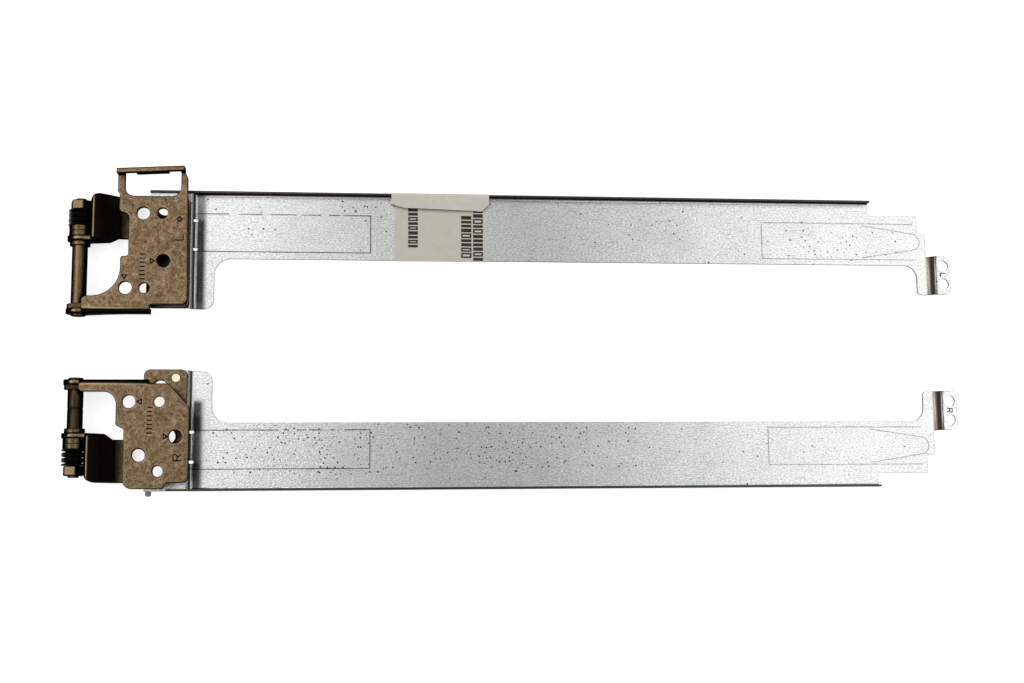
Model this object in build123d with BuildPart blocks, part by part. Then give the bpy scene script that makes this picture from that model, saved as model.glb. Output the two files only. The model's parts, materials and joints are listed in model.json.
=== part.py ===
from build123d import *
import math
import os

os.makedirs("parts", exist_ok=True)

# A pair of laptop hinges, closed, lying on their screen rails. X runs along the rails,
# the left unit is on the +Y side and the right unit is its near mirror image on the -Y side.
# Each unit is drawn in its own coordinates: u along the rail from the hinge axis,
# w inwards from the outer face of the rail's flange, z up from the table.
LEFT = 1
RIGHT = -1

# Sheet metal
rail_sheet = 0.5
bracket_sheet = 1.2
bracket_bend = 1.4
edge_break = 0.12

# Screen rail
flange_spacing = 76.4
rail_width = 17.2
flange_height = 2.8
flange_bend = 0.9
rail_start = 16.4
joggle_height = 1.5
joggle_top = 26.9
joggle_run = 0.5
joggle_bend = 0.55
lobe_edge = 32.6
lobe_reach = 30.3
lobe_corner = 2.5
lobe_fillet = 4.2
flange_end = 205.6
right_flange_start = 21.9
relief_spots = (7.3, 14.8)
relief_width = 0.85
relief_length = 1.2
relief_offset = 0.3
nub_place = 17.5
nub_width = 1.4
nub_reach = 1.3

# Screen end of the rail, measured on from the end of the flange
end_step = 3.6
shoulder_run = 13.7
shoulder_width = 8.3
nose_run = 15.8
tab_inset = 14.8
tab_edge = 25.2
tab_lobe = 13.1
tab_fillet = 3.5
tab_joggle = 16.4
tab_joggle_run = 1.5
tab_joggle_bend = 1.3
tab_run = 21.8
tab_corner = 1.2
tab_hole_run = 19.8
tab_hole_pitch = 4.9
tab_hole_d = 2.9

# Scribed tape marks on the rail
scribe_width = 0.22
scribe_depth = 0.08
tape_near = 5.5
tape_far = 15.3
tape_end = 72.3
tape_breaks = {
    LEFT: ((tape_near, 36.0, 2.6),),
    RIGHT: (
        (tape_far, 49.3, 1.4),
        (tape_far, 51.9, 1.9),
        (tape_far, 56.2, 0.8),
        (tape_far, 60.3, 2.0),
        (tape_far, 63.4, 2.4),
    ),
}
tongue_middle = 10.8
tongue_back = 29.4
tongue_start = 1.8
tongue_half = 4.9
tongue_waist = 4.4
tongue_tip = 2.2
tongue_tip_run = 12.4
tongue_nose_run = 14.2

# Hinge axis and shaft
axis_height = 5.6
shaft_d = 3.8
collar_d = 5.0
collar_length = 1.1
journal_d = 3.4
key_width = 2.6
thread_d = 2.6
thread_end = 0.4
spigot_d = 3.0
rivet_head_d = 3.6
rivet_head = 0.5
running_clearance = 0.04
face_clearance = 0.05
bore_clearance = 0.1
groove_depth = 0.12
groove_width = 0.25

# Lid bracket
ear_face = 13.0
ear_d = 6.2
leaf_outer = 2.1
leaf_inner = 12.8
ramp_foot = 9.2
ramp_run = 6.0
ramp_corner = 2.6
leaf_round = 0.5
leaf_notch = 8.8
web_end = 7.0
lid_bend = 1.6
ear_bend = 0.9
lid_start = 16.0
lid_edge = 26.7
lid_overhang = 0.1
lid_corner = 1.5
access_notch = (14.9, 6.3, 8.6)
access_notch_d = 3.8
access_holes = ((20.3, 4.9), (22.3, 13.6))
access_slot = (20.1, 22.4, 25.9)
access_hole_d = 3.5
rail_hole_margin = 0.3

# Rivets through the lid bracket and the rail
rail_rivet_inset = 2.8
rail_rivet_margin = 2.2
rail_rivet_d = 1.5
rail_rivet_head_d = 2.0
rail_rivet_head = 0.25
rail_rivet_tail_d = 2.4
rail_rivet_tail = 0.35

# Friction pack, from the lid bracket's ear outwards
washer_d = 5.5
friction_washer_t = 1.3
keyed_washer_t = 1.3
spring_count = 6
spring_d = 5.9
spring_sheet = 0.48
spring_dish = 0.2
nut_flats = 4.6
nut_length = 2.5
nut_chamfer = 0.25
nut_turn = 12
base_washer_d = 5.6
base_washer_t = 1.2

# Base brackets
plate_gap = 0.2
base_ear_d = 6.0
flange_depth = 4.4
screw_hole_d = 3.2
pin_hole_d = 2.6
flange_run = 17.8
plate_corner = 1.5
plate_nick = 0.7

# Left base bracket's outline and holes
left_ear_face = 32.5
left_plate_end = 30.4
left_plate_edge = 27.0
left_arm_edge = 28.3
left_arm_fillet = 7.0
left_step_u = 10.4
left_step_w = 18.3
left_waist_u = 12.3
left_notch_w = 7.6
left_shoulder_u = 9.9
left_shoulder_w = 7.0
left_loop_root = 2.6
left_screw_holes = ((15.8, 7.4), (20.9, 19.4), (11.8, 26.3))
left_pin_holes = ((20.5, 7.3), (16.4, 26.3))
left_arrows = ((18.1, 19.5, 0), (11.5, 23.4, 90))
left_letter = (24.7, 13.4)
left_diamond = (24.7, 8.8)
left_ticks = (15.8, 20.9)

# Right base bracket's outline and holes
right_ear_face = 27.4
right_plate_end = 26.3
right_cut_u = 22.9
right_cut_w = 20.5
right_edge = 28.0
right_heel_w = 1.9
right_heel_u = 22.9
right_foot_u = 21.9
right_foot_w = 0.4
right_foot_corner = 2.2
right_waist_u = 12.3
right_notch_w = 15.0
right_shoulder_u = 10.3
right_shoulder_w = 16.0
right_arm_edge = 24.3
right_arm_fillet = 3.2
right_screw_holes = ((13.4, 21.8), (24.7, 13.2), (16.0, 8.7))
right_pin_holes = ((20.7, 21.8), (20.6, 4.7))
right_arrows = ((16.1, 21.8, 180), (22.2, 13.2, 0))
right_letter = (25.3, 8.0)
right_ticks = (18.5, 17.2)

# Left base bracket's cable loop
lip_height = 2.6
lip_bar = 1.3
lip_tongue_width = 8.0
lip_tongue_length = 1.8
lip_tongue_corner = 0.4
lip_left = 3.4
lip_right = 4.3
lip_end = 25.95
loop_start = 9.4
loop_end = 26.55
window_start = 11.2
window_end = 24.9
window_depth = 3.0
window_corner = 2.3

# Stamped marks
mark_depth = 0.15
mark_line = 0.3
arrow_size = 0.95
letter_height = 1.9
letter_width = 1.5
tick_count = 7
tick_pitch = 1.05
tick_length = 1.3
diamond_size = 0.8
tab_letter = 1.4

# Paper label on the left rail; the flap's edge runs through (distance from its end, reach) points
label_start = 78.6
label_width = 24.0
label_sheet = 0.12
flap_left = 1.0
flap_right = 0.4
flap_root = 1.2
flap_reach = 4.2
flap_edge_left = 2.6
flap_bend_left = (3.5, 3.5)
flap_bend_right = (1.8, 4.1)
flap_edge_right = 2.4
flap_corner = 0.8
flap_ends = 0.3
flap_crown = 1.0

# Levels and places that follow from the sizes above
raised_top = joggle_height + rail_sheet
lid_top = raised_top + bracket_sheet
lid_middle = raised_top + bracket_sheet / 2
lid_reach = lobe_reach + lid_overhang
rail_rivet_row = lid_edge - rail_rivet_inset
rail_rivet_spots = (
    (rail_rivet_row, leaf_outer + rail_rivet_margin),
    (rail_rivet_row, (leaf_inner + lid_reach) / 2 - rail_rivet_margin),
    (rail_rivet_row, lid_reach - rail_rivet_margin),
    (lid_start + rail_rivet_margin, leaf_inner + 1.5 * rail_rivet_margin),
)
plate_bottom = axis_height + shaft_d / 2 + plate_gap
plate_top = plate_bottom + bracket_sheet
tall = 2 * plate_top
spring_pitch = spring_sheet + spring_dish
friction_washer_face = ear_face - face_clearance - friction_washer_t
keyed_washer_face = friction_washer_face - keyed_washer_t
spring_face = keyed_washer_face - spring_count * spring_pitch
nut_face = spring_face - nut_length
collar_face = ear_face + bracket_sheet + face_clearance
base_ear_face = {LEFT: left_ear_face, RIGHT: right_ear_face}

# The origin is at the middle of the pair's outline, on the table
axis_x = (max(ear_d, spring_d) / 2 - flange_end - tab_run) / 2
flange_y = {
    LEFT: (flange_spacing + nub_reach - lip_right) / 2,
    RIGHT: (flange_spacing - nub_reach + lip_right) / 2,
}
hinge_axis = Axis((axis_x, 0, axis_height), (0, 1, 0))


def plan(side, height):
    """Top view of one unit: local x is u, local y is w."""
    origin = (axis_x, side * flange_y[side], height)
    return Plane(origin=origin, x_dir=(1, 0, 0), z_dir=(0, 0, -side))


def elevation(side, w):
    """Side view of one unit at w: local x is u, local y is z."""
    origin = (axis_x, side * (flange_y[side] - w), 0)
    return Plane(origin=origin, x_dir=(1, 0, 0), z_dir=(0, -1, 0))


def end_view(side, u):
    """View along the rail at u: local x is w, local y is z."""
    origin = (axis_x + u, side * flange_y[side], 0)
    return Plane(origin=origin, x_dir=(0, -side, 0), z_dir=(-side, 0, 0))


def raised(side, distance):
    """Extrusion amount that goes up from a plan sketch."""
    return -side * distance


def inward(side, distance):
    """Extrusion amount that goes inwards from an elevation sketch."""
    return side * distance


def onward(side, distance):
    """Extrusion amount that goes along the rail from an end view sketch."""
    return -side * distance


def outline(corners, mode=Mode.ADD):
    """Closed face through (u, w, corner radius) points, for use inside a sketch."""
    with BuildLine() as border:
        FilletPolyline([(u, w) for u, w, r in corners], radius=[r for u, w, r in corners], close=True)
    make_face(border.edges(), mode=mode)


def edges_at_w(part, side, w, axis):
    """Edges of a part that run along an axis direction at the distance w."""
    y = side * (flange_y[side] - w)
    slack = rail_sheet / 10
    return part.edges().filter_by(axis).filter_by_position(Axis.Y, y - slack, y + slack)


def side_letter(side, u, w, height, width, turn=1):
    """The unit's side letter, L or R, centred at (u, w); turn 1 has its top towards the hinge, -1 away."""

    def glyph(x, y):
        return (u + turn * (height / 2 - y), w - turn * side * (x - width / 2))

    bowl = height / 4
    with BuildLine() as stem:
        Line(glyph(0, 0), glyph(0, height))
    trace(stem.line, line_width=mark_line)
    if side == LEFT:
        with BuildLine() as foot:
            Line(glyph(0, 0), glyph(width, 0))
        trace(foot.line, line_width=mark_line)
        return
    with BuildLine() as loop:
        Line(glyph(0, height), glyph(width - bowl, height))
        ThreePointArc(
            glyph(width - bowl, height),
            glyph(width, height - bowl),
            glyph(width - bowl, height - 2 * bowl),
        )
        Line(glyph(width - bowl, height - 2 * bowl), glyph(0, height - 2 * bowl))
    trace(loop.line, line_width=mark_line)
    with BuildLine() as leg:
        Line(glyph(width / 2, height - 2 * bowl), glyph(width, 0))
    trace(leg.line, line_width=mark_line)


def make_rail(side):
    """Screen rail: a joggled strip cut to its outline, with an upright flange along its outer edge."""
    flange_start = rail_start if side == LEFT else right_flange_start
    end = flange_end
    far = end + tab_run
    raised_middle = joggle_height + rail_sheet / 2
    face_start = joggle_top + joggle_run + joggle_bend
    with BuildPart() as rail:
        with BuildSketch(elevation(side, -nub_reach)):
            with BuildLine():
                FilletPolyline(
                    (rail_start, raised_middle),
                    (joggle_top, raised_middle),
                    (joggle_top + joggle_run, rail_sheet / 2),
                    (end, rail_sheet / 2),
                    radius=joggle_bend,
                )
                FilletPolyline(
                    (end, rail_sheet / 2),
                    (end + tab_joggle, rail_sheet / 2),
                    (end + tab_joggle + tab_joggle_run, raised_middle),
                    (far, raised_middle),
                    radius=tab_joggle_bend,
                )
            trace(line_width=rail_sheet)
        extrude(amount=inward(side, nub_reach + lobe_reach))
        with BuildSketch(plan(side, 0)):
            outline(
                (
                    (rail_start, 0, 0),
                    (face_start, 0, 0),
                    (face_start, flange_bend, 0),
                    (end, flange_bend, 0),
                    (end, end_step, 0.3),
                    (end + shoulder_run, end_step, 0.3),
                    (end + shoulder_run, shoulder_width, 0.3),
                    (end + nose_run, shoulder_width, 0.4),
                    (end + nose_run, tab_inset, 0.3),
                    (far, tab_inset, tab_corner),
                    (far, tab_edge, tab_corner),
                    (end + tab_lobe, tab_edge, tab_corner),
                    (end + tab_lobe, rail_width, tab_fillet),
                    (lobe_edge, rail_width, lobe_fillet),
                    (lobe_edge, lobe_reach, lobe_corner),
                    (rail_start, lobe_reach, lobe_corner),
                )
            )
            if side == RIGHT:
                outline(
                    (
                        (nub_place - nub_width / 2, rail_sheet, 0),
                        (nub_place + nub_width / 2, rail_sheet, 0),
                        (nub_place + nub_width / 2, -nub_reach, nub_width / 3),
                        (nub_place - nub_width / 2, -nub_reach, nub_width / 3),
                    )
                )
        extrude(amount=raised(side, tall), mode=Mode.INTERSECT)
        with BuildSketch(elevation(side, 0)):
            Polygon(
                (flange_start, raised_middle),
                (joggle_top, raised_middle),
                (joggle_top + joggle_run, rail_sheet / 2),
                (face_start, rail_sheet / 2),
                (face_start, flange_height),
                (flange_start, flange_height),
                align=None,
            )
        extrude(amount=inward(side, rail_sheet))
        with BuildSketch(end_view(side, face_start)):
            with BuildLine():
                FilletPolyline(
                    (flange_bend + rail_sheet, rail_sheet / 2),
                    (rail_sheet / 2, rail_sheet / 2),
                    (rail_sheet / 2, flange_height),
                    radius=flange_bend - rail_sheet / 2,
                )
            trace(line_width=rail_sheet)
        extrude(amount=onward(side, end - face_start))

        with BuildSketch(plan(side, 0)):
            with Locations(*[(joggle_top + joggle_run + relief_offset, spot) for spot in relief_spots]):
                SlotOverall(relief_length, relief_width)
            with Locations((end + tab_hole_run, (tab_inset + tab_edge) / 2)):
                with GridLocations(0, tab_hole_pitch, 1, 2):
                    Circle(tab_hole_d / 2)
            slot_u, slot_near, slot_far = access_slot
            with Locations((slot_u, (slot_near + slot_far) / 2)):
                SlotCenterToCenter(slot_far - slot_near, access_hole_d + 2 * rail_hole_margin, rotation=90)
            with Locations(*access_holes):
                Circle(access_hole_d / 2 + rail_hole_margin)
            with Locations(*rail_rivet_spots):
                Circle(rail_rivet_d / 2)
        extrude(amount=raised(side, tall), mode=Mode.SUBTRACT)

        with BuildSketch(plan(side, rail_sheet)):
            with BuildLine() as tape_mark:
                Polyline(
                    (face_start, tape_near),
                    (tape_end, tape_near),
                    (tape_end, tape_far),
                    (face_start, tape_far),
                )
            trace(tape_mark.line, line_width=scribe_width)
            for line, start, length in tape_breaks[side]:
                with Locations((start + length / 2, line)):
                    Rectangle(length, 2 * scribe_width, mode=Mode.SUBTRACT)
            with BuildLine() as border_mark:
                Polyline(
                    (end + tongue_tip_run, tongue_middle - tongue_half),
                    (end - tongue_back, tongue_middle - tongue_half),
                    (end - tongue_back, tongue_middle + tongue_half),
                    (end + tongue_tip_run, tongue_middle + tongue_half),
                )
            trace(border_mark.line, line_width=scribe_width)
            for way in (-1, 1):
                with BuildLine() as tongue_mark:
                    Line(
                        (end - tongue_start, tongue_middle + way * tongue_waist),
                        (end + tongue_tip_run, tongue_middle + way * tongue_tip),
                    )
                trace(tongue_mark.line, line_width=scribe_width)
            with BuildLine() as tongue_nose:
                ThreePointArc(
                    (end + tongue_tip_run, tongue_middle - tongue_tip),
                    (end + tongue_nose_run, tongue_middle),
                    (end + tongue_tip_run, tongue_middle + tongue_tip),
                )
            trace(tongue_nose.line, line_width=scribe_width)
        extrude(amount=-raised(side, scribe_depth), mode=Mode.SUBTRACT)

        with BuildSketch(plan(side, raised_top)):
            middle = (tab_inset + tab_edge) / 2
            side_letter(side, end + tab_hole_run, middle, tab_letter, tab_letter * 0.7, turn=-1)
        extrude(amount=-raised(side, scribe_depth), mode=Mode.SUBTRACT)
    return rail


def make_lid_bracket(side):
    """Lid bracket: flat plate on the rail's raised end, a ramp past the friction pack, and the shaft ear."""
    ear_back = ear_face + bracket_sheet
    ramp_tip = ramp_foot - ramp_run
    leaf_edge = ramp_tip - bracket_sheet / 2 * math.sqrt(0.5)
    web_drop = (bracket_sheet - ear_bend + bracket_sheet / 2) / 2 * math.sqrt(2)
    with BuildPart() as bracket:
        with BuildSketch(elevation(side, leaf_outer)):
            with BuildLine():
                FilletPolyline(
                    (ramp_tip, lid_middle + ramp_run),
                    (ramp_foot, lid_middle),
                    (lid_edge, lid_middle),
                    radius=lid_bend,
                )
            trace(line_width=bracket_sheet)
        extrude(amount=inward(side, ear_back - leaf_outer))
        fillet(bracket.edges().filter_by(Axis.Y).sort_by(Axis.Z)[-1], leaf_round)
        ramp_edges = edges_at_w(bracket, side, ear_back, Axis((0, 0, 0), (-1, 0, 1)))
        fillet(ramp_edges.sort_by(Axis.Z)[-1], ear_bend)
        with BuildSketch(plan(side, raised_top)):
            Polygon(
                (lid_start, leaf_inner),
                (lid_edge, leaf_inner),
                (lid_edge, lid_reach),
                (lid_start, lid_reach),
                align=None,
            )
        extrude(amount=raised(side, bracket_sheet))
        with BuildSketch(plan(side, 0)):
            outline(
                (
                    (leaf_edge, leaf_outer, ramp_corner),
                    (lid_edge, leaf_outer, lid_corner),
                    (lid_edge, lid_reach, lid_corner),
                    (lid_start, lid_reach, lid_corner),
                    (lid_start, leaf_inner, lid_corner),
                    (leaf_notch, leaf_inner, 0.6),
                    (web_end, ear_back, 0.6),
                    (leaf_edge, ear_back, 0.4),
                )
            )
        extrude(amount=raised(side, tall), mode=Mode.INTERSECT)
        with BuildSketch(elevation(side, ear_face)):
            with Locations((0, axis_height)):
                Circle(ear_d / 2)
            with BuildLine():
                Polyline(
                    (0, axis_height + ear_d / 2),
                    (ramp_tip, lid_middle + ramp_run - web_drop),
                    (web_end, lid_middle + ramp_foot - web_drop - web_end),
                    (0, axis_height - ear_d / 2),
                    close=True,
                )
            make_face()
        extrude(amount=inward(side, bracket_sheet))
        with BuildSketch(elevation(side, ear_face)):
            with Locations((0, axis_height)):
                Circle(journal_d / 2 + running_clearance)
        extrude(amount=inward(side, bracket_sheet), mode=Mode.SUBTRACT)
        with BuildSketch(plan(side, 0)):
            for spot, width in ((access_notch, access_notch_d), (access_slot, access_hole_d)):
                slot_u, slot_near, slot_far = spot
                with Locations((slot_u, (slot_near + slot_far) / 2)):
                    SlotCenterToCenter(slot_far - slot_near, width, rotation=90)
            with Locations(*access_holes):
                Circle(access_hole_d / 2)
            with Locations(*rail_rivet_spots):
                Circle(rail_rivet_d / 2)
        extrude(amount=raised(side, lid_top), mode=Mode.SUBTRACT)
    return bracket


def make_rail_rivets(side):
    """Small rivets from the lid bracket's face to the underside of the rail's raised end."""
    with BuildPart() as rivets:
        with BuildSketch(plan(side, lid_top)):
            with Locations(*rail_rivet_spots):
                Circle(rail_rivet_head_d / 2)
        extrude(amount=raised(side, rail_rivet_head))
        with BuildSketch(plan(side, joggle_height)):
            with Locations(*rail_rivet_spots):
                Circle(rail_rivet_d / 2)
        extrude(amount=raised(side, lid_top - joggle_height))
        with BuildSketch(plan(side, joggle_height)):
            with Locations(*rail_rivet_spots):
                Circle(rail_rivet_tail_d / 2)
        extrude(amount=-raised(side, rail_rivet_tail))
    return rivets


def make_base_plate(side, corners, screw_holes, pin_holes):
    """Base bracket: thick plate over the shaft, with a turned-down flange that ends in the shaft's ear."""
    ear_back = base_ear_face[side]
    with BuildPart() as plate:
        with BuildSketch(plan(side, plate_bottom)):
            outline(corners)
        extrude(amount=raised(side, bracket_sheet))
        with BuildSketch(elevation(side, ear_back - bracket_sheet)):
            Polygon(
                (bracket_sheet, axis_height),
                (flange_run, axis_height),
                (flange_run, plate_top),
                (bracket_sheet, plate_top),
                align=None,
            )
        extrude(amount=inward(side, bracket_sheet))
        fillet(edges_at_w(plate, side, ear_back, Axis.X).group_by(Axis.Z)[-1], bracket_bend)
        with BuildSketch(elevation(side, ear_back - bracket_sheet)):
            with Locations((0, axis_height)):
                Circle(base_ear_d / 2)
            with BuildLine():
                Polyline(
                    (0, axis_height + base_ear_d / 2),
                    (bracket_sheet, plate_top - bracket_bend),
                    (flange_run - base_ear_d, axis_height),
                    (base_ear_d, plate_top - flange_depth),
                    (0, axis_height - base_ear_d / 2),
                    close=True,
                )
            make_face()
        extrude(amount=inward(side, bracket_sheet))
        with BuildSketch(elevation(side, ear_back - bracket_sheet)):
            with Locations((0, axis_height)):
                Circle(spigot_d / 2)
        extrude(amount=inward(side, bracket_sheet), mode=Mode.SUBTRACT)
        with BuildSketch(plan(side, plate_bottom)):
            with Locations(*screw_holes):
                Circle(screw_hole_d / 2)
            with Locations(*pin_holes):
                Circle(pin_hole_d / 2)
        extrude(amount=raised(side, bracket_sheet), mode=Mode.SUBTRACT)
    return plate


def stamp_marks(side, arrows, letter, ticks):
    """Marks on a base plate's face: arrows by screw holes, the side letter and a row of ticks."""
    for u, w, heading in arrows:
        with Locations((u, w)):
            RegularPolygon(arrow_size, 3, rotation=heading)
            RegularPolygon(arrow_size - 2 * mark_line, 3, rotation=heading, mode=Mode.SUBTRACT)
    side_letter(side, letter[0], letter[1], letter_height, letter_width)
    with Locations(ticks):
        with GridLocations(0, tick_pitch, 1, tick_count):
            Rectangle(tick_length, mark_line)


def make_shaft(side):
    """Turned shaft: riveted into the base ear, with a collar, a journal and a double-D threaded end."""
    base_inner = base_ear_face[side] - bracket_sheet - base_washer_t
    collar_inner = collar_face + collar_length
    steps = (
        (base_ear_face[side], rivet_head_d, rivet_head),
        (base_inner, spigot_d, bracket_sheet + base_washer_t),
        (collar_inner, shaft_d, base_inner - collar_inner),
        (collar_face, collar_d, collar_length),
        (friction_washer_face, journal_d, collar_face - friction_washer_face),
        (nut_face - thread_end, thread_d, nut_length + thread_end),
    )
    with BuildPart() as shaft:
        for face, diameter, length in steps:
            with BuildSketch(elevation(side, face)):
                with Locations((0, axis_height)):
                    Circle(diameter / 2)
            extrude(amount=inward(side, length))
        with BuildSketch(elevation(side, spring_face)):
            with Locations((0, axis_height)):
                Circle(journal_d / 2)
                Rectangle(key_width, journal_d, mode=Mode.INTERSECT)
        extrude(amount=inward(side, friction_washer_face - spring_face))
        if side == RIGHT:
            with BuildSketch(elevation(side, (base_inner + collar_inner) / 2)):
                with Locations((0, axis_height)):
                    Circle(shaft_d / 2)
                    Circle(shaft_d / 2 - groove_depth, mode=Mode.SUBTRACT)
            extrude(amount=inward(side, groove_width), mode=Mode.SUBTRACT)
    return shaft


def make_washer(side, face, thickness, diameter, hole_d, hole_width, top=tall):
    """Washer on the shaft: its hole is round or has flats hole_width apart, and its rim stops at top."""
    with BuildPart() as washer:
        with BuildSketch(elevation(side, face)):
            with Locations((0, axis_height)):
                Circle(diameter / 2)
        extrude(amount=inward(side, thickness))
        with BuildSketch(elevation(side, face)):
            with Locations((0, axis_height)):
                Circle(hole_d / 2)
                Rectangle(hole_width, hole_d, mode=Mode.INTERSECT)
        extrude(amount=inward(side, thickness), mode=Mode.SUBTRACT)
        fillet(washer.edges().filter_by(GeomType.CIRCLE).group_by(SortBy.RADIUS)[-1], edge_break)
        with BuildSketch(elevation(side, face)):
            with Locations((0, top)):
                Rectangle(diameter, diameter, align=(Align.CENTER, Align.MIN))
        extrude(amount=inward(side, thickness), mode=Mode.SUBTRACT)
    return washer


def make_disc_spring(side, number):
    """Shallow cone washer; each one is turned the other way round from the one before."""
    outer = keyed_washer_face - number * spring_pitch
    inner_r = journal_d / 2 + bore_clearance
    rim_shift = spring_dish if number % 2 else 0
    hub_shift = spring_dish - rim_shift
    with BuildPart() as spring:
        with BuildSketch(plan(side, axis_height)):
            with BuildLine():
                Polyline(
                    (inner_r, outer - hub_shift),
                    (spring_d / 2, outer - rim_shift),
                    (spring_d / 2, outer - rim_shift - spring_sheet),
                    (inner_r, outer - hub_shift - spring_sheet),
                    close=True,
                )
            make_face()
        revolve(axis=hinge_axis)
    return spring


def make_lock_nut(side):
    """Chamfered hexagon nut on the shaft's threaded end."""
    with BuildPart() as nut:
        with BuildSketch(elevation(side, nut_face)):
            with Locations((0, axis_height)):
                RegularPolygon(nut_flats / 2, 6, major_radius=False, rotation=nut_turn)
        extrude(amount=inward(side, nut_length))
        chamfer(nut.edges().filter_by(Axis.Y, reverse=True), nut_chamfer)
        with BuildSketch(elevation(side, nut_face)):
            with Locations((0, axis_height)):
                Circle(thread_d / 2)
        extrude(amount=inward(side, nut_length), mode=Mode.SUBTRACT)
    return nut


def save(piece, name):
    """Label a finished piece and write it out."""
    piece.part.label = name
    export_step(piece.part, f"parts/{name}.step")


# Left base bracket: the plate, a cable loop beyond the rail's edge and the lip that closes it
left_plate = make_base_plate(
    LEFT,
    (
        (loop_start, -lip_left, 0),
        (lip_end, -lip_right, 0),
        (lip_end, bracket_sheet - lip_right, 0),
        (loop_end, 2 * bracket_sheet - lip_right, plate_nick),
        (left_plate_edge, left_plate_end, plate_corner),
        (flange_run, left_plate_end, 0.4),
        (flange_run, left_ear_face, 0),
        (bracket_sheet, left_ear_face, 0),
        (bracket_sheet, left_arm_edge, bracket_sheet),
        (left_step_u, left_arm_edge, left_arm_fillet),
        (left_step_u, left_step_w, plate_nick),
        (left_waist_u, left_step_w, plate_nick),
        (left_waist_u, left_notch_w, 1.3),
        (left_shoulder_u, left_shoulder_w, 1.1),
        (left_shoulder_u, left_loop_root, plate_nick),
        (loop_start, left_loop_root - plate_nick, plate_nick),
    ),
    left_screw_holes,
    left_pin_holes,
)
lip_slope = (lip_right - lip_left) / (lip_end - loop_start)
lip_depth = bracket_sheet * math.hypot(1, lip_slope)


def lip_line(u):
    """Distance w of the lip's outer face at u."""
    return -lip_left - lip_slope * (u - loop_start)


with BuildPart() as left_base_bracket:
    add(left_plate.part)
    with BuildSketch(plan(LEFT, plate_bottom)):
        outline(
            (
                (window_start, lip_line(window_start) + lip_depth, 0),
                (window_end, lip_line(window_end) + lip_depth, 0),
                (window_end, window_depth, window_corner),
                (window_start, window_depth, window_corner),
            )
        )
    extrude(amount=raised(LEFT, bracket_sheet), mode=Mode.SUBTRACT)
    with BuildSketch(plan(LEFT, plate_bottom)):
        Polygon(
            (loop_start, lip_line(loop_start)),
            (lip_end, lip_line(lip_end)),
            (lip_end, lip_line(lip_end) + lip_depth),
            (loop_start, lip_line(loop_start) + lip_depth),
            align=None,
        )
    extrude(amount=raised(LEFT, bracket_sheet + lip_height))
    lip_edges = left_base_bracket.edges().filter_by(Axis((0, 0, 0), (1, lip_slope, 0)))
    fillet(lip_edges.group_by(Axis.Z)[0].sort_by(Axis.Y)[-1], bracket_bend - 2 * edge_break)
    lip_top = plate_top + lip_height
    tongue_middle_u = (window_start + window_end) / 2
    tongue_left = tongue_middle_u - lip_tongue_width / 2
    tongue_right = tongue_middle_u + lip_tongue_width / 2
    tongue_tip_z = lip_top - lip_bar - lip_tongue_length
    with BuildSketch(elevation(LEFT, -lip_right)):
        outline(
            (
                (window_start, plate_bottom, 0),
                (window_end, plate_bottom, 0),
                (window_end, lip_top - lip_bar, bracket_sheet / 3),
                (tongue_right, lip_top - lip_bar, 0),
                (tongue_right, tongue_tip_z, lip_tongue_corner),
                (tongue_left, tongue_tip_z, lip_tongue_corner),
                (tongue_left, lip_top - lip_bar, 0),
                (window_start, lip_top - lip_bar, bracket_sheet / 3),
            )
        )
    extrude(amount=inward(LEFT, lip_right), mode=Mode.SUBTRACT)
    with BuildSketch(plan(LEFT, plate_top)):
        stamp_marks(LEFT, left_arrows, left_letter, left_ticks)
        with Locations(left_diamond):
            RegularPolygon(diamond_size, 4)
            RegularPolygon(diamond_size - 1.5 * mark_line, 4, mode=Mode.SUBTRACT)
    extrude(amount=-raised(LEFT, mark_depth), mode=Mode.SUBTRACT)

# Right base bracket: the plate with a cut-off corner beside its flange
right_plate = make_base_plate(
    RIGHT,
    (
        (bracket_sheet, right_ear_face, 0),
        (flange_run, right_ear_face, 0),
        (flange_run, right_plate_end, 0.4),
        (right_cut_u, right_plate_end, plate_nick),
        (right_edge, right_cut_w, plate_nick),
        (right_edge, right_heel_w, plate_corner),
        (right_heel_u, right_heel_w, plate_nick),
        (right_foot_u, right_foot_w, plate_nick),
        (right_waist_u, right_foot_w, right_foot_corner),
        (right_waist_u, right_notch_w, plate_nick),
        (right_shoulder_u, right_shoulder_w, plate_nick),
        (right_shoulder_u, right_arm_edge, right_arm_fillet),
        (bracket_sheet, right_arm_edge, 1.0),
    ),
    right_screw_holes,
    right_pin_holes,
)

with BuildPart() as right_base_bracket:
    add(right_plate.part)
    with BuildSketch(plan(RIGHT, plate_top)):
        stamp_marks(RIGHT, right_arrows, right_letter, right_ticks)
    extrude(amount=-raised(RIGHT, mark_depth), mode=Mode.SUBTRACT)

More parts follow.
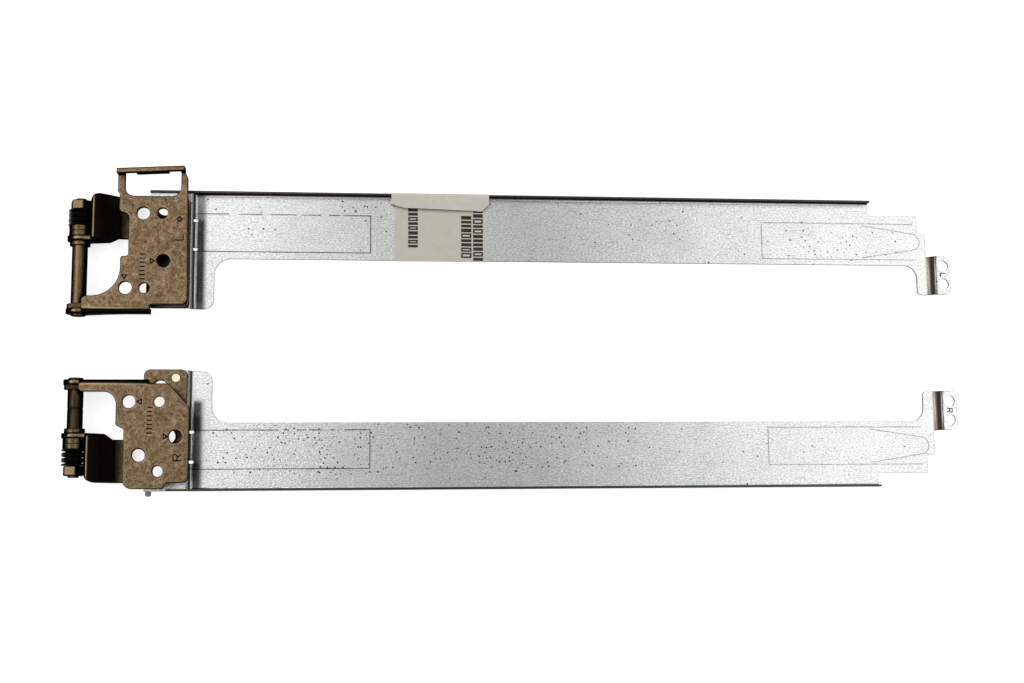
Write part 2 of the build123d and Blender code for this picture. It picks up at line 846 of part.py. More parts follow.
# Paper label: stuck on the left rail's face and flange, and wrapped round with its loose end over the flange
with BuildPart() as left_label:
    face_top = rail_sheet + label_sheet
    face_z = rail_sheet + label_sheet / 2
    wall_w = rail_sheet + label_sheet / 2
    turn_w = rail_width + label_sheet / 2
    with BuildSketch(end_view(LEFT, label_start)):
        with BuildLine() as face_line:
            FilletPolyline(
                (wall_w, flange_height),
                (wall_w, face_z),
                (rail_width / 2, face_z),
                radius=flange_bend - wall_w,
            )
            Polyline((rail_width / 2, face_z), (turn_w, face_z), (turn_w, label_sheet))
        trace(face_line.line, line_width=label_sheet)
    extrude(amount=onward(LEFT, label_width))
    label_end = label_start + label_width
    flap_start = label_start - flap_left
    flap_end = label_end + flap_right
    top_z = flange_height + label_sheet / 2
    with BuildSketch(end_view(LEFT, flap_start)):
        with BuildLine() as wrap_line:
            Polyline(
                (-label_sheet / 2, flange_bend),
                (-label_sheet / 2, top_z),
                (face_top, top_z),
            )
        trace(wrap_line.line, line_width=label_sheet)
    extrude(amount=onward(LEFT, flap_end - flap_start))
    for w, ends, crown in (
        (face_top, flange_height, flange_height),
        (flap_reach, face_top + flap_ends, face_top + flap_crown),
    ):
        middle = (flap_start + flap_end) / 2
        over = label_sheet
        with BuildSketch(elevation(LEFT, w)):
            with BuildLine():
                Spline((flap_start, ends), (middle, crown), (flap_end, ends))
                Line((flap_end, ends), (flap_end, ends + over))
                Spline((flap_end, ends + over), (middle, crown + over), (flap_start, ends + over))
                Line((flap_start, ends + over), (flap_start, ends))
            make_face()
    loft()
    with BuildSketch(plan(LEFT, face_top)):
        Polygon(
            (flap_start, flap_root),
            (flap_end, flap_root),
            (flap_end, flap_reach),
            (flap_start, flap_reach),
            align=None,
        )
        outline(
            (
                (flap_start, flap_root, 0),
                (flap_end, flap_root, 0),
                (flap_end, flap_edge_right, flap_corner),
                (flap_end - flap_bend_right[0], flap_bend_right[1], flap_corner),
                (flap_start + flap_bend_left[0], flap_bend_left[1], flap_corner),
                (flap_start, flap_edge_left, flap_corner),
            ),
            mode=Mode.SUBTRACT,
        )
    extrude(amount=raised(LEFT, flange_height), mode=Mode.SUBTRACT)

save(left_base_bracket, "left_base_bracket")
save(right_base_bracket, "right_base_bracket")
save(left_label, "left_label")
for side, hand in ((LEFT, "left"), (RIGHT, "right")):
    base_inner = base_ear_face[side] - bracket_sheet - base_washer_t
    bore_d = journal_d + 2 * running_clearance
    key_gap = key_width + 2 * running_clearance
    base_flat = plate_bottom - face_clearance
    base_washer = make_washer(side, base_inner, base_washer_t, base_washer_d, spigot_d, spigot_d, base_flat)
    friction_washer = make_washer(side, friction_washer_face, friction_washer_t, washer_d, bore_d, bore_d)
    keyed_washer = make_washer(side, keyed_washer_face, keyed_washer_t, washer_d, bore_d, key_gap)
    save(make_rail(side), f"{hand}_rail")
    save(make_lid_bracket(side), f"{hand}_lid_bracket")
    save(make_rail_rivets(side), f"{hand}_rail_rivets")
    save(make_shaft(side), f"{hand}_shaft")
    save(base_washer, f"{hand}_base_washer")
    save(friction_washer, f"{hand}_friction_washer")
    save(keyed_washer, f"{hand}_keyed_washer")
    for number in range(spring_count):
        save(make_disc_spring(side, number), f"{hand}_disc_spring_{number + 1}")
    save(make_lock_nut(side), f"{hand}_lock_nut")
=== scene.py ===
import json
import math
import random
import bpy
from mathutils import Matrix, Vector


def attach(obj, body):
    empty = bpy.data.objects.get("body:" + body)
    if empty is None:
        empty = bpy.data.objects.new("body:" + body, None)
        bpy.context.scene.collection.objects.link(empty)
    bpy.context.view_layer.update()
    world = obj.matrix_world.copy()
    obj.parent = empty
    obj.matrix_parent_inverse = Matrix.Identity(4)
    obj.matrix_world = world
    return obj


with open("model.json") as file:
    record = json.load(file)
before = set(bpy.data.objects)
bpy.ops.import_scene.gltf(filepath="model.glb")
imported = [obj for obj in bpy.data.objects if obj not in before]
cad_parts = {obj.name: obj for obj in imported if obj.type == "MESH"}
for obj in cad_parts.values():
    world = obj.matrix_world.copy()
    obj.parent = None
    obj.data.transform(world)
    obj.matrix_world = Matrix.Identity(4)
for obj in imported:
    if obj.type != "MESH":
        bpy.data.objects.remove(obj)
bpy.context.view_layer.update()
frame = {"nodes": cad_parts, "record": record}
nodes = frame["nodes"]
scene = bpy.context.scene
MM = 0.001

# Lengths and places below are in millimetres of the frame, unless a comment says otherwise.
# The hinge axis, the rails' outer faces and their flanges' top
AXIS_X = frame["record"]["behaviour"]["joints"][0]["pos_m"][0] / MM
rail_corners = nodes["left_rail"].bound_box
LEFT_FLANGE_Y = max(corner[1] for corner in rail_corners) / MM
FLANGE_TOP = max(corner[2] for corner in rail_corners) / MM
RIGHT_FLANGE_Y = -39.7
# Heights: the floors of the scribed lines, of the tab's letter and of the plates' stamped marks, and the label's face.
# A place counts as such a floor within a small reach, and as the label's loose end from a small rise above its face
SCRIBE_FLOOR = 0.42
TAB_MARK_FLOOR = 1.92
RAIL_MARK_REACH = 0.03
PLATE_MARK_FLOOR = 8.75
PLATE_MARK_REACH = 0.04
LABEL_FACE = 0.62
LOOSE_END_RISE = 0.05
# The foot of the rail's step and the bend up to its tab, along X from the hinge axis
STEP_FOOT = 28.1
TAB_BEND = 222.4

# Dark specks on the rails lie in fields: start and end along X from the hinge axis, low and high end along Y, and the
# share of places that hold a speck. The fields fade out along X and along Y, and a few specks lie outside them
SPECKLED = (
    (34, 42, -34.5, -24.0, 0.25),
    (45, 71, -34.5, -24.0, 0.5),
    (75, 102, -36.0, -24.0, 0.27),
    (105, 121, -34.0, -24.0, 0.62),
    (124, 141, -35.0, -24.0, 0.27),
    (189, 195, -31.0, -24.0, 0.12),
    (41, 44, 26.0, 29.0, 0.25),
    (63, 75, 26.5, 34.0, 0.12),
    (141, 153, 25.5, 30.0, 0.2),
    (185, 200, 22.5, 28.0, 0.38),
    (204, 214, 23.0, 28.5, 0.32),
)
FIELD_FADE_X = 4
FIELD_FADE_Y = 1.5
STRAY_SPECKS = 0.02
SPECK_SPACING = 1.25
SPECK_RADII = (0.09, 0.24)

# Painted shade along the foot of the step, where the brackets' dark sides are mirrored: its share at the lowest Y,
# where along Y this changes and by how much, the fade of a change, where it starts to thin out and ends along X from
# the foot, and the fade of its edge at the foot
STEP_SHADE_SHARE = 0.985
STEP_SHADE_CHANGES = ((-32.6, -0.145), (-25.0, 0.13), (-17.0, -0.97), (0.0, 0.97), (29.5, -0.22))
STEP_SHADE_CHANGE_FADE = 0.8
STEP_SHADE_THINS, STEP_SHADE_ENDS = 1.3, 2.9
STEP_SHADE_EDGE_FADE = 0.2

# The left rail's scribed line next to its flange, from the flange's face, how far it reaches to either side, and where
# along X from the hinge axis it is rubbed out
NEAR_LINE = 5.5
NEAR_LINE_REACH = 0.5
RUBBED_OUT = ((44.7, 46.5), (53.3, 54.5), (59.5, 61.5), (64.6, 65.2))
RUBBED_FADE = 0.1
# Scribed lines hold less dirt towards the tabs: where along X this changes, and the share at the tabs
DIRT_FADE = (-30, 50)
DIRT_AT_TABS = 0.5
# At the tab's bend: brown tarnish before it and painted shade on it: start from the bend, width, fade and share
TARNISH_AND_BEND_SHADE = ((-0.9, 0.6, 0.4, 0.5), (0.2, 0.4, 0.6, 0.94))
# Shaded and dull places of the rails: how far in from an edge the painted shade line reaches, how deep the flange's
# dull crest is, and the right rail's nub with its painted shade, from its start to its end past the flange's face, with
# its fade and share
PAINTED_EDGE_SHADE_REACH = 0.45
CREST_DEPTH = 0.05
NUB_START, NUB_END, NUB_FADE = 0.2, 1.0, 0.5
NUB_SHADE_SHARE = 0.85
# Depth of the fine relief on sheet and bronze
RELIEF = 0.02

# Near-black patina of the bronzed pieces and its dull sheen; the same near-black is also laid as painted shade
PATINA_AND_SHADE = "15110D"
PATINA_AND_SHADE_SHEEN = "40382E"
# Fine scratches on bronze: angle in radians, length and width. Real ones are thinner than a pixel of the picture, so
# they are drawn as wide as they need to be to show
SCRATCHES = ((0.6, 1.9, 0.045), (-0.9, 1.4, 0.045), (2.0, 2.3, 0.05), (1.3, 1.2, 0.04), (-0.2, 2.8, 0.05))


def colour(code):
    """Linear RGBA of an sRGB hex colour."""
    parts = [int(code[i:i + 2], 16) / 255 for i in (0, 2, 4)]
    return [p / 12.92 if p <= 0.04045 else ((p + 0.055) / 1.055) ** 2.4 for p in parts] + [1]


def node(tree, kind, inputs, out=0, **settings):
    """Add a shader node and return one of its outputs; each input is a constant or another node's output."""
    made = tree.nodes.new("ShaderNode" + kind)
    for name, value in settings.items():
        setattr(made, name, value)
    for name, value in inputs.items():
        if isinstance(value, bpy.types.NodeSocket):
            tree.links.new(value, made.inputs[name])
        else:
            made.inputs[name].default_value = value
    return made.outputs[out] if made.outputs else made


def material(name):
    """Empty node material; returns it with its tree and the place on the piece in metres."""
    made = bpy.data.materials.new(name)
    made.use_nodes = True
    made.node_tree.nodes.clear()
    return made, made.node_tree, node(made.node_tree, "TexCoord", {}, "Object")


def surface(tree, inputs):
    """Join a principled surface to the material's output."""
    node(tree, "OutputMaterial", {"Surface": node(tree, "BsdfPrincipled", inputs)})


def ramp(tree, value, low, high, start=0.0, end=1.0):
    """Smooth change from start to end while a value goes from low to high."""
    return node(tree, "MapRange", {"Value": value, "From Min": low, "From Max": high, "To Min": start, "To Max": end},
                interpolation_type="SMOOTHSTEP")


def inside(tree, value, low, high, soft):
    """One where a value lies between low and high, fading to nought over soft on either side, all in millimetres."""
    rise = ramp(tree, value, (low - soft) * MM, low * MM)
    fall = ramp(tree, value, high * MM, (high + soft) * MM, 1.0, 0.0)
    return node(tree, "Math", {0: rise, 1: fall}, operation="MULTIPLY")


def patches(tree, place, size, low, high, start=0.0, end=1.0, detail=3.0):
    """Cloudy value from start to end, in patches about size millimetres across, while a noise goes from low to high."""
    cloud = node(tree, "TexNoise", {"Vector": place, "Scale": 0.5 / (size * MM), "Detail": detail, "Roughness": 0.6})
    return node(tree, "MapRange", {"Value": cloud, "From Min": low, "From Max": high, "To Min": start, "To Max": end})


def streaks(tree, place, angle, length, width, low, high, end=1.0):
    """Thin streaks of a length and width in millimetres, turned by an angle in the plane of the sheet, from nought to
    end while a noise goes from low to high."""
    along = (2 * length * MM, 2 * width * MM, 2 * width * MM)
    turned = node(tree, "Mapping", {"Vector": place, "Rotation": (0, 0, angle), "Scale": along}, vector_type="TEXTURE")
    lines = node(tree, "TexNoise", {"Vector": turned, "Scale": 1.0, "Detail": 1.0})
    return node(tree, "MapRange", {"Value": lines, "From Min": low, "From Max": high, "To Max": end})


def spots(tree, place, spacing, small, large, few):
    """Scattered round spots between two radii, all in millimetres; few is the share of the cells left bare."""
    cells = node(tree, "TexVoronoi", {"Vector": place, "Scale": 1 / (spacing * MM)},
                 voronoi_dimensions="2D").node.outputs
    parts = node(tree, "SeparateColor", {"Color": cells["Color"]}).node.outputs
    edge = node(tree, "MapRange", {"Value": parts["Green"], "To Min": small / spacing, "To Max": large / spacing})
    within = node(tree, "Math", {0: cells["Distance"], 1: edge}, operation="LESS_THAN")
    # Red and green go with where the cell's point lies, so only blue chooses cells without drawing rows of spots
    chosen = node(tree, "Math", {0: parts["Blue"], 1: few}, operation="GREATER_THAN")
    return node(tree, "Math", {0: within, 1: chosen}, operation="MULTIPLY")


def layered(tree, base, layers):
    """A base colour with a share of each further colour laid over it in turn."""
    tone = colour(base)
    for share, code in layers:
        tone = node(tree, "Mix", {0: share, 6: tone, 7: colour(code)}, 2, data_type="RGBA")
    return tone


def upright(tree, normal):
    """Upright share of a normal, seen from the piece itself, whichever way the piece is turned."""
    own = node(tree, "VectorTransform", {"Vector": normal}, vector_type="NORMAL",
               convert_from="WORLD", convert_to="OBJECT")
    return node(tree, "Math", {0: node(tree, "SeparateXYZ", {"Vector": own}, "Z")}, operation="ABSOLUTE")


def met(tree):
    """One for the rays that meet a surface straight from the eye, or by sheen or through glass; else nought."""
    rays = node(tree, "LightPath", {}).node.outputs
    seen = node(tree, "Math", {0: rays["Is Camera Ray"], 1: rays["Is Glossy Ray"]}, operation="ADD")
    return node(tree, "Math", {0: seen, 1: rays["Is Transmission Ray"]}, operation="ADD", use_clamp=True)


def galvanised():
    """Rolled galvanised sheet: a pale metal with a fine matt grain drawn out along the rail, dark specks and dark
    scribed lines, so that it scatters the light overhead and darkens softly where the room is dark."""
    made, tree, place = material("galvanised_rolled_sheet")
    x, y, z = node(tree, "SeparateXYZ", {"Vector": place}).node.outputs
    # The real grain is finer than a pixel of the picture, so it is drawn as coarse as it needs to be to show
    grain = streaks(tree, place, angle=0, length=0.3, width=0.13, low=0.34, high=0.66)
    scuffs = streaks(tree, place, angle=0, length=2.2, width=0.09, low=0.58, high=0.72, end=0.4)
    up = node(tree, "SeparateXYZ", {"Vector": node(tree, "TexCoord", {}, "Normal")}, "Z")
    up = node(tree, "Math", {0: up}, operation="ABSOLUTE")

    # Specks, thick and thin within their fields, on level faces only
    held = STRAY_SPECKS
    for start, end, low, high, share in SPECKLED:
        along = inside(tree, x, AXIS_X + start, AXIS_X + end, FIELD_FADE_X)
        across = inside(tree, y, low, high, FIELD_FADE_Y)
        field = node(tree, "Math", {0: along, 1: across}, operation="MULTIPLY")
        held = node(tree, "Math", {0: field, 1: share, 2: held}, operation="MULTIPLY_ADD")
    thick = patches(tree, place, size=5, low=0.35, high=0.65, start=0.5, end=1.5)
    held = node(tree, "Math", {0: held, 1: thick}, operation="MULTIPLY")
    bare = node(tree, "Math", {0: 1.0, 1: held}, operation="SUBTRACT")
    specks = spots(tree, place, SPECK_SPACING, *SPECK_RADII, bare)
    specks = node(tree, "Math", {0: specks, 1: ramp(tree, up, 0.7, 0.9)}, operation="MULTIPLY")

    # Painted shade along the foot of the step, stronger or weaker from strip to strip
    level = STEP_SHADE_SHARE
    for edge, change in STEP_SHADE_CHANGES:
        step = ramp(tree, y, (edge - STEP_SHADE_CHANGE_FADE) * MM, (edge + STEP_SHADE_CHANGE_FADE) * MM, 0.0, change)
        level = node(tree, "Math", {0: level, 1: step}, operation="ADD")
    foot = (AXIS_X + STEP_FOOT) * MM
    painted_step_shade = node(tree, "Math", {0: ramp(tree, x, foot + STEP_SHADE_THINS * MM, foot + STEP_SHADE_ENDS * MM, 1.0, 0.0),
                              1: ramp(tree, x, foot - STEP_SHADE_EDGE_FADE * MM, foot + STEP_SHADE_EDGE_FADE * MM)},
               operation="MULTIPLY")
    cloudy = patches(tree, place, size=2.5, low=0.35, high=0.55, start=0.92, end=1.0, detail=1.0)
    for share in (level, cloudy):
        painted_step_shade = node(tree, "Math", {0: painted_step_shade, 1: share}, operation="MULTIPLY")

    # Scribed lines and the tab's letter hold dirt unevenly; one line is rubbed out in places
    uneven = patches(tree, place, size=3, low=0.3, high=0.6, start=0.7, end=1.0)
    fewer = ramp(tree, x, DIRT_FADE[0] * MM, DIRT_FADE[1] * MM, 1.0, DIRT_AT_TABS)
    dirt = node(tree, "Math", {0: uneven, 1: fewer}, operation="MULTIPLY")
    clean = 0.0
    for start, end in RUBBED_OUT:
        rubbed = inside(tree, x, AXIS_X + start, AXIS_X + end, RUBBED_FADE)
        clean = node(tree, "Math", {0: clean, 1: rubbed}, operation="ADD")
    line_y = LEFT_FLANGE_Y - NEAR_LINE
    strip = inside(tree, y, line_y - NEAR_LINE_REACH, line_y + NEAR_LINE_REACH, RUBBED_FADE)
    clean = node(tree, "Math", {0: clean, 1: strip}, operation="MULTIPLY")
    kept = node(tree, "Math", {0: 1.0, 1: clean}, operation="SUBTRACT")
    dirt = node(tree, "Math", {0: dirt, 1: kept}, operation="MULTIPLY")
    marks = []
    for floor, share in ((SCRIBE_FLOOR, dirt), (TAB_MARK_FLOOR, uneven)):
        mark = node(tree, "Math", {0: z, 1: floor * MM, 2: RAIL_MARK_REACH * MM}, operation="COMPARE")
        marks.append(node(tree, "Math", {0: mark, 1: share}, operation="MULTIPLY"))
    tarnish_and_bend_shade = []
    for ahead, wide, soft, share in TARNISH_AND_BEND_SHADE:
        start = AXIS_X + TAB_BEND + ahead
        band = inside(tree, x, start, start + wide, soft)
        tarnish_and_bend_shade.append(node(tree, "Math", {0: band, 1: share}, operation="MULTIPLY"))

    # Painted shade: a thin dark line along the edges, and darker steep faces on sheared edges, the step and the
    # flange's walls. The flange's crest is dull
    rounded = node(tree, "Bevel", {"Radius": PAINTED_EDGE_SHADE_REACH * MM}, samples=8)
    painted_rim = ramp(tree, upright(tree, rounded), 0.75, 0.98, 0.8, 0.0)
    painted_rim = node(tree, "Math", {0: painted_rim, 1: kept}, operation="MULTIPLY")
    painted_wall_shade = ramp(tree, up, 0.25, 0.8, 0.85, 0.0)
    crest = node(tree, "Math", {0: z, 1: (FLANGE_TOP - CREST_DEPTH) * MM}, operation="GREATER_THAN")
    # Painted shade on the right rail's nub too, past its flange, except its end
    painted_nub_shade = inside(tree, y, RIGHT_FLANGE_Y - NUB_END, RIGHT_FLANGE_Y - NUB_START, NUB_FADE)
    painted_nub_shade = node(tree, "Math", {0: painted_nub_shade, 1: NUB_SHADE_SHARE}, operation="MULTIPLY")

    tone = layered(tree, "C0C5C2", (
        (grain, "F4F6F2"),
        (patches(tree, place, size=9, low=0.4, high=0.65, end=0.2), "B2B6B3"),
        (scuffs, "8E8E88"),
        (specks, "222527"),
        # Painted shade at the foot of the step
        (painted_step_shade, "23282A"),
        # Painted shade along the edges
        (painted_rim, "4A4D4C"),
        (marks[0], "1E201F"),
        (marks[1], "1E201F"),
        (tarnish_and_bend_shade[0], "9A7F66"),
        # Painted shade on the tab's bend
        (tarnish_and_bend_shade[1], "33261C"),
        # Painted shade on steep faces
        (painted_wall_shade, "4C4C48"),
        (crest, "4A4740"),
        # Painted shade on the nub
        (painted_nub_shade, "4C4E4A"),
    ))
    bump = node(tree, "Bump", {"Height": grain, "Strength": 0.7, "Distance": RELIEF * MM})
    # The steep faces' dark specular tint is painted shade too
    surface(tree, {"Base Color": tone, "Metallic": 1.0, "Roughness": 0.33, "Normal": bump,
                   "Specular Tint": layered(tree, "FFFFFF", ((painted_wall_shade, "4A5252"),))})
    return made


def bronzed(name, light, dark, pale_wear_and_highlight, steep, flat, edge, share, windows):
    """Antique bronze plating, tumbled: flat faces rubbed to a cloudy brown with fine pale scratches and painted pale
    highlights along their rims, while edges, bends and stamped marks keep the near-black patina, which draws each
    outline dark, and sheltered places get the same near-black as painted shade. A surface is black where its upright
    share is below steep and rubbed brown where it is above flat; edge is how far in from an edge that reaches. A share
    of near-black is laid inside all the windows, each an axis, two limits and a fade; on the lid brackets it is painted
    shade."""
    made, tree, place = material(name)
    spot = node(tree, "SeparateXYZ", {"Vector": place}).node.outputs
    cloud = patches(tree, place, size=0.45, low=0.32, high=0.68, detail=6.0)
    layers = [
        (cloud, light),
        (patches(tree, place, size=3, low=0.44, high=0.66, end=0.35), dark),
        (patches(tree, place, size=0.8, low=0.54, high=0.72, end=0.25, detail=2.0), pale_wear_and_highlight),
    ]
    for angle, length, width in SCRATCHES:
        layers.append((streaks(tree, place, angle, length, width, low=0.665, high=0.73, end=0.8), pale_wear_and_highlight))
    pits = spots(tree, place, spacing=0.8, small=0.04, large=0.11, few=0.6)
    layers.append((node(tree, "Math", {0: pits, 1: 0.55}, operation="MULTIPLY"), PATINA_AND_SHADE))
    rounded = node(tree, "Bevel", {"Radius": edge * MM}, samples=8)
    up = upright(tree, rounded)
    painted_rim = node(tree, "Math", {0: ramp(tree, up, 0.9, 0.96), 1: ramp(tree, up, 0.985, 0.999, 0.6, 0.0)},
               operation="MULTIPLY")
    kept = ramp(tree, up, steep, flat, 1.0, 0.0)
    # Painted shade: places that ambient occlusion finds sheltered get the near-black
    open_sky = node(tree, "AmbientOcclusion", {"Distance": 12 * MM}, "AO", samples=8)
    painted_shelter_shade = ramp(tree, open_sky, 0.3, 0.65, 0.97, 0.0)
    # A share of near-black inside the windows; on the lid brackets this is painted shade
    for axis, low, high, soft in windows:
        share = node(tree, "Math", {0: inside(tree, spot[axis], low, high, soft), 1: share}, operation="MULTIPLY")
    stamped = node(tree, "Math", {0: spot[2], 1: PLATE_MARK_FLOOR * MM, 2: PLATE_MARK_REACH * MM},
                   operation="COMPARE")
    # Painted pale highlight along the rims
    layers.append((painted_rim, pale_wear_and_highlight))
    # Near-black laid over the windows and sheltered places as painted shade, and over steep faces and stamped marks as
    # patina
    layers += [(patina_and_shade, PATINA_AND_SHADE) for patina_and_shade in (share, painted_shelter_shade, kept, stamped)]
    bump = node(tree, "Bump", {"Height": cloud, "Strength": 0.2, "Distance": RELIEF * MM, "Normal": rounded})
    surface(tree, {"Base Color": layered(tree, dark, layers), "Metallic": 1.0, "Normal": bump,
                   "Specular Tint": layered(tree, "FFFFFF", ((share, PATINA_AND_SHADE_SHEEN), (kept, PATINA_AND_SHADE_SHEEN))),
                   "Roughness": patches(tree, place, size=1.2, low=0.3, high=0.7, start=0.28, end=0.4)})
    return made


def plain_metal(name, code, roughness, size):
    """Bare or blackened turned metal: one even tone with a sheen that varies a little in patches of a size."""
    made, tree, place = material(name)
    vary = 0.06
    sheen = patches(tree, place, size, low=0.3, high=0.7, start=roughness - vary, end=roughness + vary)
    surface(tree, {"Base Color": colour(code), "Metallic": 1.0, "Roughness": sheen})
    return made


def paper(name, code, flap):
    """Coated label paper: matt warm grey-white with a faint fibre mottle; the loose end is paler, and a painted shadow
    beneath it, laid where ambient occlusion finds shelter, draws a dark line there."""
    made, tree, place = material(name)
    height = node(tree, "SeparateXYZ", {"Vector": place}, "Z")
    raised = node(tree, "Math", {0: height, 1: (LABEL_FACE + LOOSE_END_RISE) * MM}, operation="GREATER_THAN")
    fibre = patches(tree, place, size=0.6, low=0.3, high=0.7, end=0.15)
    # Painted shadow beneath the loose end, where ambient occlusion finds shelter
    open_sky = node(tree, "AmbientOcclusion", {"Distance": 3 * MM}, "AO", samples=8)
    painted_flap_shadow = ramp(tree, open_sky, 0.25, 0.7, 0.95, 0.0)
    surface(tree, {"Base Color": layered(tree, code, ((raised, flap), (fibre, "A9A493"), (painted_flap_shadow, "2B2824"))),
                   "Roughness": 0.75})
    return made


def ink(name, code):
    """Printing ink on paper: flat, dark and matt."""
    made, tree = material(name)[:2]
    surface(tree, {"Base Color": colour(code), "Roughness": 0.6})
    return made


finishes = {
    "galvanised_sheet": galvanised(),
    # Painted shade on the lid brackets at the foot of their ramps, beneath the base brackets
    "bronzed_steel": bronzed("bronzed_stamped_steel", light="7E674D", dark="493A2A", pale_wear_and_highlight="B7A283",
                             steep=0.9, flat=0.98, edge=0.8, share=0.93,
                             windows=((0, AXIS_X + 8, AXIS_X + 10, 3), (2, 0, 6, 0.5))),
    # The right shaft is darker than the left one along part of its length
    "bronzed_shaft": bronzed("bronzed_turned_steel", light="604E37", dark="302519", pale_wear_and_highlight="957F5D",
                             steep=0.7, flat=0.97, edge=0.32, share=0.72, windows=((1, -24, -6, 1.5),)),
    # The washers are dark with oil all over
    "bronze_washer": bronzed("oiled_turned_bronze", light="6C5A40", dark="3A2D1E", pale_wear_and_highlight="A08A66",
                             steep=0.75, flat=0.98, edge=0.2, share=0.3, windows=()),
    "spring_steel": plain_metal("blackened_spring_steel", "09090A", roughness=0.36, size=0.5),
    "rivet_steel": plain_metal("bright_plated_rivet", "D8D2BA", roughness=0.3, size=0.4),
    "label_paper": paper("coated_label_paper", "ECE8D8", flap="FBF8EC"),
}
for part in frame["record"]["subparts"]:
    piece = nodes[part["node"]]
    piece.data.materials.clear()
    piece.data.materials.append(finishes[part["material_slot"]])

# Sheared and turned edges are slightly rounded, so they catch a thin line of light
EDGE_ROUND = {"galvanised_sheet": 0.1, "bronzed_steel": 0.14, "bronzed_shaft": 0.1, "bronze_washer": 0.08,
              "spring_steel": 0.06, "rivet_steel": 0.1}
SHARP_FROM = math.radians(35)
WELD_REACH = 0.001
for part in frame["record"]["subparts"]:
    width = EDGE_ROUND.get(part["material_slot"])
    if width:
        piece = nodes[part["node"]]
        piece.modifiers.new("joined", "WELD").merge_threshold = WELD_REACH * MM
        bevel = piece.modifiers.new("rounded", "BEVEL")
        bevel.width = width * MM
        bevel.segments = 2
        bevel.limit_method = "ANGLE"
        bevel.angle_limit = SHARP_FROM
        bevel.harden_normals = True

# Print on the label: columns of plain dark boxes of the size of letters, meaning nothing; boxes longer than some
# strokes are hollow. Each column has its start and end along X from the hinge axis, and its near and far end across
# the rail from the flange's face
PRINT_COLUMNS = ((82.0, 84.5, 3.3, 14.0), (95.8, 98.5, 5.2, 17.0), (98.9, 101.5, 3.3, 17.2))
BOX_LENGTHS = (0.7, 1.4)
BOX_GAP = 0.28
STROKE = 0.42
HOLLOW_FROM = 2.4 * STROKE
PRINT_Z = LABEL_FACE + 0.01
chance = random.Random(7)
corners, faces = [], []


def oblong(u0, u1, w0, w1):
    """Add one dark oblong just above the label's face."""
    first = len(corners)
    corners.extend(((AXIS_X + u) * MM, (LEFT_FLANGE_Y - w) * MM, PRINT_Z * MM)
                   for u, w in ((u0, w1), (u1, w1), (u1, w0), (u0, w0)))
    faces.append([first, first + 1, first + 2, first + 3])


for start, end, near, far in PRINT_COLUMNS:
    w = near
    while w < far - BOX_LENGTHS[0]:
        last = min(w + chance.uniform(*BOX_LENGTHS), far)
        if last - w > HOLLOW_FROM:
            for side in (w, last - STROKE):
                oblong(start, end, side, side + STROKE)
            for bar in (start, end - STROKE):
                oblong(bar, bar + STROKE, w + STROKE, last - STROKE)
        else:
            oblong(start, end, w, last)
        w = last + BOX_GAP
blocks = bpy.data.meshes.new("label_print")
blocks.from_pydata(corners, [], faces)
blocks.materials.append(ink("label_printing_ink", "1E1C19"))
label_print = bpy.data.objects.new("label_print", blocks)
scene.collection.objects.link(label_print)
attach(label_print, "screen_side")

# Table: white, keeping the pair's soft shadow. Half its side is in metres, and it lies just clear of the rails
TABLE_HALF = 3
TABLE_DROP = 0.02
TABLE_GLOW = 0.74
table = bpy.data.meshes.new("table")
table.from_pydata([(x * TABLE_HALF, y * TABLE_HALF, 0) for x, y in ((-1, -1), (1, -1), (1, 1), (-1, 1))],
                  [], [(0, 1, 2, 3)])
floor = bpy.data.objects.new("table", table)
floor.location.z = -TABLE_DROP * MM
scene.collection.objects.link(floor)
made, tree = material("white_table")[:2]
glow = node(tree, "Emission", {"Color": colour("FFFFFF"), "Strength": TABLE_GLOW})
matt = node(tree, "BsdfDiffuse", {"Color": colour("F4F4F4")})
lit = node(tree, "AddShader", {0: matt, 1: glow})
node(tree, "OutputMaterial", {"Surface": node(tree, "MixShader", {0: met(tree), 1: matt, 2: lit})})
table.materials.append(made)

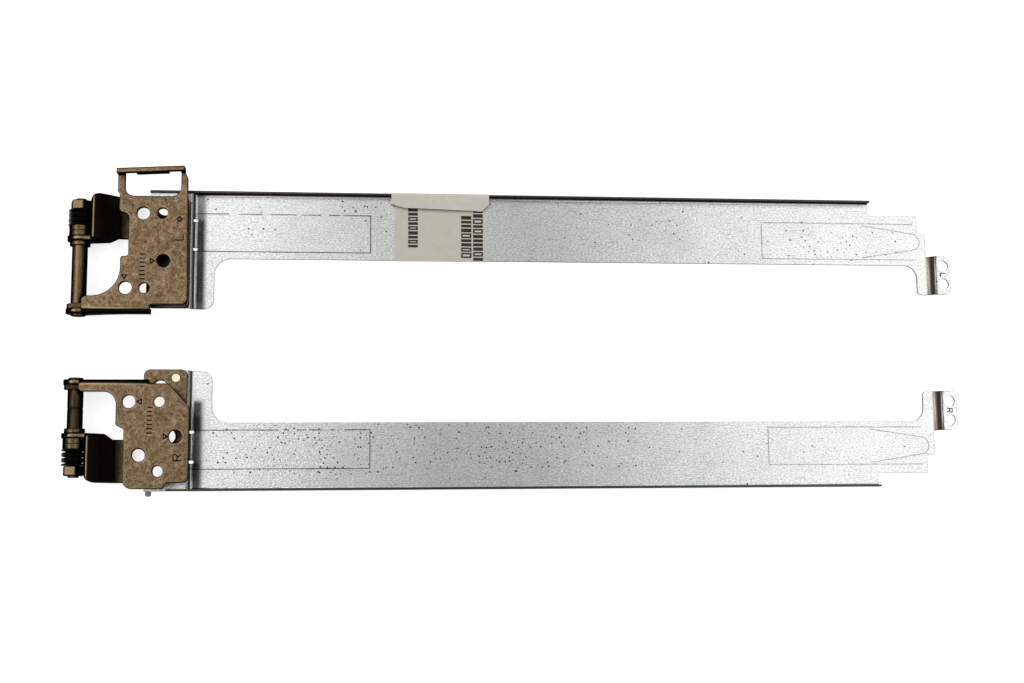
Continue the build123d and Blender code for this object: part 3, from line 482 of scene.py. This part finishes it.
# Two ceiling panels in a dim room, with a dark gap between them that darkens the middle of the rails.
# Each has its start and end along X, its level and its turn in degrees; these lengths are in metres
PANELS = (("hinge_end", -0.95, -0.09, 1.69, -16), ("tab_end", 0.185, 0.9, 1.56, 0))
PANEL_DEPTH = 0.9
PANEL_Y = 0.1
PANEL_HEIGHT = 0.75
for name, start, end, level, turn in PANELS:
    width = end - start
    light = bpy.data.lights.new(name + "_panel", "AREA")
    light.shape = "RECTANGLE"
    light.size = width
    light.size_y = PANEL_DEPTH
    light.energy = level * math.pi * width * PANEL_DEPTH
    panel = bpy.data.objects.new(name + "_panel", light)
    panel.location = ((start + end) / 2, PANEL_Y, PANEL_HEIGHT)
    panel.rotation_euler.z = math.radians(turn)
    scene.collection.objects.link(panel)

# Room: dim overhead, with pale walls low down for the metal to mirror when it is seen from the side.
# The walls fade out between two upward shares of the direction looked in
ROOM_LEVEL = 0.05
WALL_LEVEL = 0.9
WALL_FADE = (0.45, 0.8)
world = bpy.data.worlds.new("room")
world.use_nodes = True
tree = world.node_tree
tree.nodes.clear()
upward = node(tree, "SeparateXYZ", {"Vector": node(tree, "TexCoord", {}, "Generated")}, "Z")
walls = ramp(tree, upward, *WALL_FADE, WALL_LEVEL - ROOM_LEVEL, 0.0)
level = node(tree, "Math", {0: met(tree), 1: walls, 2: ROOM_LEVEL}, operation="MULTIPLY_ADD")
room = node(tree, "Background", {"Color": colour("FFFFFF"), "Strength": level})
node(tree, "OutputWorld", {"Surface": room})
scene.world = world
scene.view_settings.view_transform = "Standard"

# Camera above the pair: the point it looks at, how far off it is, how far it leans to the hinge end and to the right
# unit's side, and its roll, in degrees
CAMERA_AIM = (-3.2, -1.5, 0)
CAMERA_DISTANCE = 365
LEAN_TO_HINGES = math.radians(6.0)
LEAN_TO_RIGHT_UNIT = math.radians(7.5)
CAMERA_ROLL = math.radians(-0.55)
away = Vector((-math.tan(LEAN_TO_HINGES), -math.tan(LEAN_TO_RIGHT_UNIT), 1)).normalized()
lens = bpy.data.cameras.new("camera")
lens.lens = 49.36
lens.sensor_width = 36
lens.clip_start = 0.01
camera = bpy.data.objects.new("camera", lens)
camera.location = Vector(CAMERA_AIM) * MM + away * CAMERA_DISTANCE * MM
up = Vector((-math.sin(CAMERA_ROLL), math.cos(CAMERA_ROLL), 0))
side = up.cross(away).normalized()
up = away.cross(side)
camera.rotation_mode = "QUATERNION"
turned = camera.matrix_world.to_3x3()
turned.col[0], turned.col[1], turned.col[2] = side, up, away
camera.rotation_quaternion = turned.to_quaternion()
scene.collection.objects.link(camera)
scene.camera = camera
